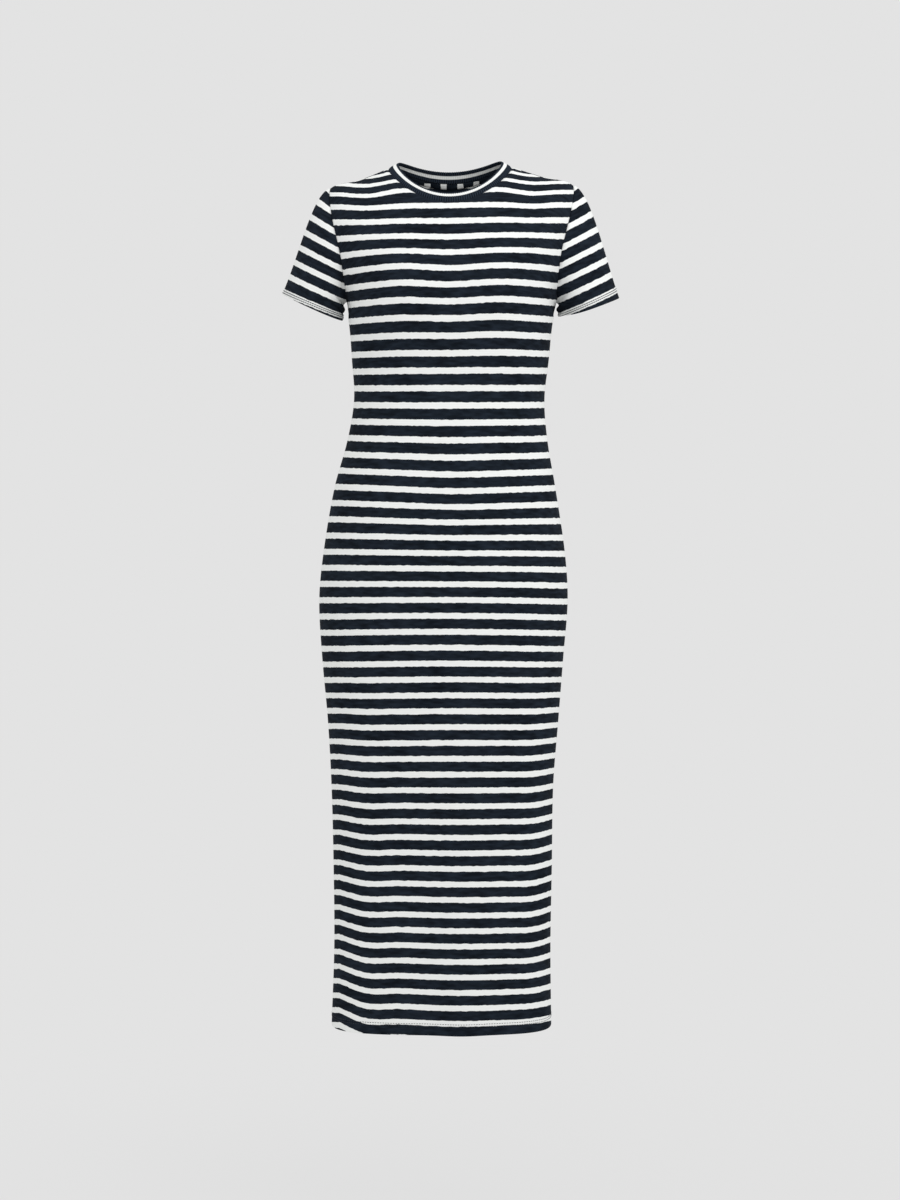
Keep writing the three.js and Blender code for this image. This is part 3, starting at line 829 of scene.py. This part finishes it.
def jersey_height(nodes):
    """Plain knit: upright rows of small V-shaped stitches."""
    across, along = nodes.uv("cloth")
    wale = nodes.maths("PINGPONG", nodes.maths("DIVIDE", across, WALE * MM), 0.5)
    leg = nodes.maths("MULTIPLY", wale, LEG_SLANT)
    loop = nodes.maths("PINGPONG", nodes.maths("ADD", nodes.maths("DIVIDE", along, COURSE * MM), leg), 0.5)
    return nodes.maths("ADD", nodes.maths("MULTIPLY", wale, 1.2), nodes.maths("MULTIPLY", loop, 0.8))


def mottle(nodes, strength):
    """Slow uneven shade of knit cloth, drawn out along a shallow diagonal."""
    cloth = nodes.add("UVMap", uv_map="cloth").outputs[0]
    drawn = {"Vector": cloth, "Rotation": (0, 0, 0.6), "Scale": (60, 220, 1)}
    fine = nodes.noise(nodes.add("Mapping", drawn).outputs[0], 1.0, 3.0)
    broad = nodes.noise(cloth, 18.0)
    total = nodes.maths("ADD", nodes.maths("MULTIPLY", fine, 1.3), nodes.maths("MULTIPLY", broad, 0.7))
    return nodes.step(total, 0.6, 1.4, 1 - strength, 1 + strength)


def white_within(nodes, away, half, edge):
    """1 on a white stripe and 0 off it, from the distance to its middle."""
    return nodes.step(away, half - edge, half + edge, 1.0, 0.0)


def striped_jersey(name, covered=False):
    """Navy and white jersey. A covered one shows no white above 0 on the stripe map's second axis."""
    nodes = Nodes(name)
    number, above = nodes.uv("stripe")
    cloth = nodes.add("UVMap", uv_map="cloth").outputs[0]
    waver = nodes.maths("SUBTRACT", nodes.noise(cloth, 120.0), 0.5)
    wavering = nodes.maths("ADD", number, nodes.maths("MULTIPLY", waver, STRIPE_WAVER))
    away = nodes.maths("PINGPONG", wavering, 0.5)
    white = white_within(nodes, away, STRIPE_HALF_WHITE, STRIPE_EDGE)
    if covered:
        white = nodes.maths("MULTIPLY", white, white_within(nodes, above, 0.0, 0.3))
    navy_yarn = nodes.scaled(NAVY, mottle(nodes, NAVY_MOTTLE))
    white_yarn = nodes.scaled(WHITE, mottle(nodes, WHITE_MOTTLE))
    return finish_cloth(nodes, nodes.mix(white, navy_yarn, white_yarn), JERSEY_RELIEF)


def rib_knit():
    """Fine rib with painted shade in its valleys and a painted highlight on its ridges, with one white
    stripe along the band.
    """
    nodes = Nodes("rib_knit")
    up, rib = nodes.uv("stripe")
    away = nodes.maths("ABSOLUTE", nodes.maths("SUBTRACT", up, BAND_STRIPE_MIDDLE))
    white = white_within(nodes, away, BAND_STRIPE_HALF, BAND_EDGE)
    # Painted light across each rib: navy is lightened on the ridges and darkened in the valleys, and white
    # is only darkened in the valleys, as light and shade would fall.
    valley = nodes.maths("PINGPONG", rib, 0.5)
    navy_yarn = nodes.scaled(NAVY, nodes.step(valley, 0.1, 0.4, 2.2, 0.5))
    white_yarn = nodes.scaled(WHITE, nodes.step(valley, 0.1, 0.5, 1.0, 0.86))
    return finish_cloth(nodes, nodes.mix(white, navy_yarn, white_yarn), RIB_RELIEF)


def sewing_thread():
    """Dark thread, a little uneven."""
    nodes = Nodes("sewing_thread")
    place = nodes.add("NewGeometry").outputs["Position"]
    shade = nodes.step(nodes.noise(place, 900.0), 0.3, 0.7, 0.85, 1.3)
    nodes.put(nodes.shader.inputs["Base Color"], nodes.scaled(THREAD, shade))
    nodes.shader.inputs["Roughness"].default_value = 0.7
    return nodes.material


def declare(name, piece, rows):
    """Hangs a piece of cloth and its needle rows from the root, and hides the solid of the same name."""
    width, length, area = CUTS[name]
    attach(piece, "root")
    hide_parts(name)
    for row in rows:
        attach(row, "root")
    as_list(rows)


def dress():
    """Makes every piece of the dress, with the needle rows of its hems."""
    jersey = striped_jersey("striped_jersey")
    tape_jersey = striped_jersey("tape_jersey", covered=True)
    rib = rib_knit()
    thread = sewing_thread()
    pieces = {
        "front": panel("front", 0, FRONT_BITE, front_stripes, jersey),
        "back": panel("back", math.pi, BACK_BITE, back_stripes, jersey),
        "sleeve_left": sleeve("sleeve_left", jersey),
        "sleeve_right": sleeve("sleeve_right", jersey),
        "neckband": neckband(rib),
        "neck_tape": neck_tape(tape_jersey),
    }
    sewing = {name: [] for name in pieces}
    for number, height in enumerate(HEM_STITCH_ROWS):
        sewing["front"].append(body_hem_stitches(f"hem_stitches_{number}", height, thread))
    for name in SLEEVES:
        for number, row in enumerate(SLEEVE_STITCH_ROWS):
            sewing[name].append(sleeve_hem_stitches(f"{name}_stitches_{number}", name, row, thread))
    for name, piece in pieces.items():
        declare(name, piece, sewing[name])


def stage_floor():
    """A pale floor that takes a soft shadow near the dress and matches the background further out."""
    size = {"vertices": FLOOR_SIDES, "radius": FLOOR_RADIUS, "location": (0, 0, FLOOR_Z)}
    bpy.ops.mesh.primitive_circle_add(fill_type="NGON", **size)
    floor = bpy.context.object
    floor.name = "floor"
    nodes = Nodes("floor")
    glow = nodes.add("Emission", {"Color": BACKGROUND, "Strength": 1.0})
    matte = nodes.add("BsdfDiffuse", {"Color": BACKGROUND})
    place = nodes.add("NewGeometry").outputs["Position"]
    flat = nodes.add("VectorMath", {0: place, 1: (1, 1, 0)}, operation="MULTIPLY").outputs[0]
    away = nodes.add("VectorMath", {0: flat}, operation="LENGTH").outputs["Value"]
    share = nodes.step(away, FLOOR_NEAR, FLOOR_FAR, FLOOR_GLOW, 1.0)
    blend = nodes.add("MixShader", {0: share, 1: matte.outputs[0], 2: glow.outputs[0]})
    nodes.put(nodes.tree.nodes["Material Output"].inputs["Surface"], blend.outputs[0])
    nodes.tree.nodes.remove(nodes.shader)
    floor.data.materials.append(nodes.material)


def area_light(name, location, target, size, power):
    """A round lamp, turned to its target."""
    data = bpy.data.lights.new(name, "AREA")
    data.shape = "DISK"
    data.size = size
    data.energy = power
    lamp = bpy.data.objects.new(name, data)
    lamp.location = location
    lamp.rotation_euler = (Vector(target) - Vector(location)).to_track_quat("-Z", "Y").to_euler()
    bpy.context.scene.collection.objects.link(lamp)


def studio():
    """The floor, the even background, the lights and the camera."""
    stage_floor()
    world = bpy.data.worlds.new("studio")
    world.use_nodes = True
    sky = world.node_tree.nodes["Background"]
    sky.inputs["Color"].default_value = BACKGROUND
    sky.inputs["Strength"].default_value = 1.0
    bpy.context.scene.world = world
    bpy.context.scene.view_settings.view_transform = "Standard"
    for name, light in LIGHTS.items():
        area_light(name, *light)
    camera_data = bpy.data.cameras.new("camera")
    camera_data.lens = LENS
    camera_data.sensor_width = SENSOR
    camera = bpy.data.objects.new("camera", camera_data)
    camera.location = (0, -CAMERA_DISTANCE, CAMERA_HEIGHT)
    camera.rotation_euler = (QUARTER, 0, 0)
    bpy.context.scene.collection.objects.link(camera)
    bpy.context.scene.camera = camera


dress()
studio()
